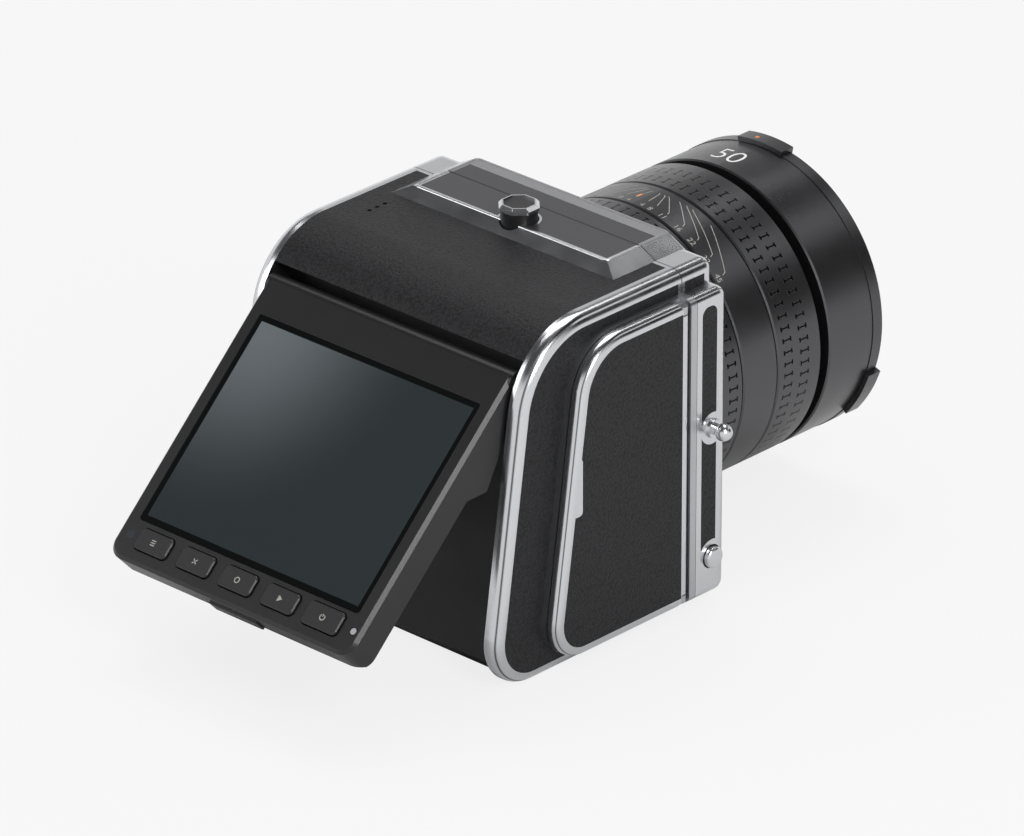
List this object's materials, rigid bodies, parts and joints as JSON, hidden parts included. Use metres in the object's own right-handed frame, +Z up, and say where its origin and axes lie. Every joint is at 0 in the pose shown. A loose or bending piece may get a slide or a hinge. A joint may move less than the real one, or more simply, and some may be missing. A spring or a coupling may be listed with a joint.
{
  "type": "medium format digital camera",
  "caption": "Boxy medium format camera: thin body, digital back with a tilting rear display and side port door, and a round lens with turning rings.",
  "frame": {"origin": "mouth of the tripod socket, in the base under the middle of the camera body", "axes": "+Z up, the lens looks along -Y and the display faces +Y, +X is to the right of a person who looks at the lens"},
  "size_m": [0.1077, 0.1922, 0.0979],
  "materials": {
    "polished_chrome": "polished, chrome plated",
    "satin_chrome": "satin",
    "leatherette": "fine grain",
    "dark_inlay": "glossy",
    "display_plastic": "matte",
    "display_glass": "gloss",
    "screen_panel": "gloss",
    "key_plastic": "matte",
    "small_windows": "gloss",
    "black_anodised": "satin black anodised",
    "inner_aluminium": "machined",
    "black_plastic": "matte",
    "steel": "machined",
    "gold_contacts": "plated",
    "optical_glass": "coated",
    "sensor_chip": "gloss",
    "circuit_board": "solder mask"
  },
  "bodies": {
    "camera": {"camera_frame": "polished_chrome", "back_housing": "polished_chrome", "latch_bar": "polished_chrome", "strap_lugs": "polished_chrome", "port_block": "satin_chrome", "mount_ring": "satin_chrome", "body_leather_right": "leatherette", "body_leather_left": "leatherette", "front_leather": "leatherette", "top_leather": "leatherette", "side_leather_right": "leatherette", "side_leather_left": "leatherette", "body_top_strip": "dark_inlay", "latch_panel": "dark_inlay", "lens_core": "black_anodised", "scale_sleeve": "black_anodised", "front_barrel": "black_anodised", "front_ring": "black_anodised", "sensor_frame": "inner_aluminium", "heat_block": "inner_aluminium", "port_panel": "black_plastic", "contact_strip": "black_plastic", "mount_screws": "steel", "tripod_bush": "steel", "port_hinge_pin": "steel", "port_sockets": "steel", "hinge_pin": "steel", "lens_bayonet": "steel", "iris_blades": "steel", "mount_contacts": "gold_contacts", "contact_pins": "gold_contacts", "front_glass": "optical_glass", "rear_glass": "optical_glass", "sensor_glass": "optical_glass", "image_sensor": "sensor_chip", "main_board": "circuit_board"},
    "display": {"display_housing": "display_plastic", "display_back_cover": "display_plastic", "display_glass": "display_glass", "lcd_panel": "screen_panel", "display_lenses": "small_windows"},
    "menu_key": {"key_menu": "key_plastic"},
    "cross_key": {"key_cross": "key_plastic"},
    "select_key": {"key_select": "key_plastic"},
    "play_key": {"key_play": "key_plastic"},
    "power_key": {"key_power": "key_plastic"},
    "door": {"port_door": "polished_chrome", "port_door_leather": "leatherette"},
    "latch": {"latch_button": "black_plastic", "latch_cap": "polished_chrome", "latch_plate": "steel"},
    "shutter_button": {"shutter_release": "polished_chrome"},
    "dial": {"control_dial": "black_plastic"},
    "release_button": {"lens_release": "polished_chrome"},
    "lock_pin": {"lens_lock_pin": "steel"},
    "lens_control": {"control_ring": "black_anodised"},
    "clutch": {"clutch_sleeve": "inner_aluminium"},
    "focus": {"focus_ring": "black_anodised"},
    "battery_pack": {"battery": "black_plastic"},
    "battery_catch": {"battery_latch": "black_plastic"}
  },
  "joints": [
    {"name": "display_tilt", "type": "hinge", "parent": "camera", "child": "display", "pos_m": [0, 0.05817, 0.078], "axis": [1, 0, 0], "range_deg": [-38, 50]},
    {"name": "menu_key_press", "type": "slide", "parent": "display", "child": "menu_key", "axis": [0, -0.6909, -0.723], "range_m": [0, 0.0004], "stiffness_N_per_m": 500},
    {"name": "cross_key_press", "type": "slide", "parent": "display", "child": "cross_key", "axis": [0, -0.6909, -0.723], "range_m": [0, 0.0004], "stiffness_N_per_m": 500},
    {"name": "select_key_press", "type": "slide", "parent": "display", "child": "select_key", "axis": [0, -0.6909, -0.723], "range_m": [0, 0.0004], "stiffness_N_per_m": 500},
    {"name": "play_key_press", "type": "slide", "parent": "display", "child": "play_key", "axis": [0, -0.6909, -0.723], "range_m": [0, 0.0004], "stiffness_N_per_m": 500},
    {"name": "power_key_press", "type": "slide", "parent": "display", "child": "power_key", "axis": [0, -0.6909, -0.723], "range_m": [0, 0.0004], "stiffness_N_per_m": 500},
    {"name": "door_swing", "type": "hinge", "parent": "camera", "child": "door", "pos_m": [-0.0491, 0.0097, 0.0448], "axis": [0, 0, 1], "range_deg": [0, 90]},
    {"name": "latch_press", "type": "slide", "parent": "camera", "child": "latch", "axis": [0, 0, -1], "range_m": [0, 0.0015], "stiffness_N_per_m": 300},
    {"name": "shutter_press", "type": "slide", "parent": "camera", "child": "shutter_button", "axis": [0, 1, 0], "range_m": [0, 0.0008], "stiffness_N_per_m": 400},
    {"name": "dial_turn", "type": "hinge", "parent": "camera", "child": "dial", "pos_m": [-0.0348, -0.0072, 0.012], "axis": [0, -1, 0], "continuous": true},
    {"name": "lens_release_press", "type": "slide", "parent": "camera", "child": "release_button", "axis": [1, 0, 0], "range_m": [0, 0.0012], "stiffness_N_per_m": 600},
    {"name": "lock_pin_slide", "type": "slide", "parent": "camera", "child": "lock_pin", "axis": [0, 1, 0], "range_m": [0, 0.0012]},
    {"name": "control_ring_turn", "type": "hinge", "parent": "camera", "child": "lens_control", "pos_m": [0, -0.0207, 0.0462], "axis": [0, -1, 0], "continuous": true},
    {"name": "clutch_slide", "type": "slide", "parent": "camera", "child": "clutch", "axis": [0, -1, 0], "range_m": [0, 0.0026]},
    {"name": "focus_turn", "type": "hinge", "parent": "clutch", "child": "focus", "pos_m": [0, -0.0458, 0.0462], "axis": [0, -1, 0], "continuous": true},
    {"name": "battery_out", "type": "slide", "parent": "camera", "child": "battery_pack", "axis": [1, 0, 0], "range_m": [0, 0.075]},
    {"name": "battery_catch_slide", "type": "slide", "parent": "camera", "child": "battery_catch", "axis": [0, 1, 0], "range_m": [0, 0.003], "stiffness_N_per_m": 100}
  ],
  "couplings": [
    {"joint": "lock_pin_slide", "follows": "lens_release_press", "ratio": 1}
  ]
}
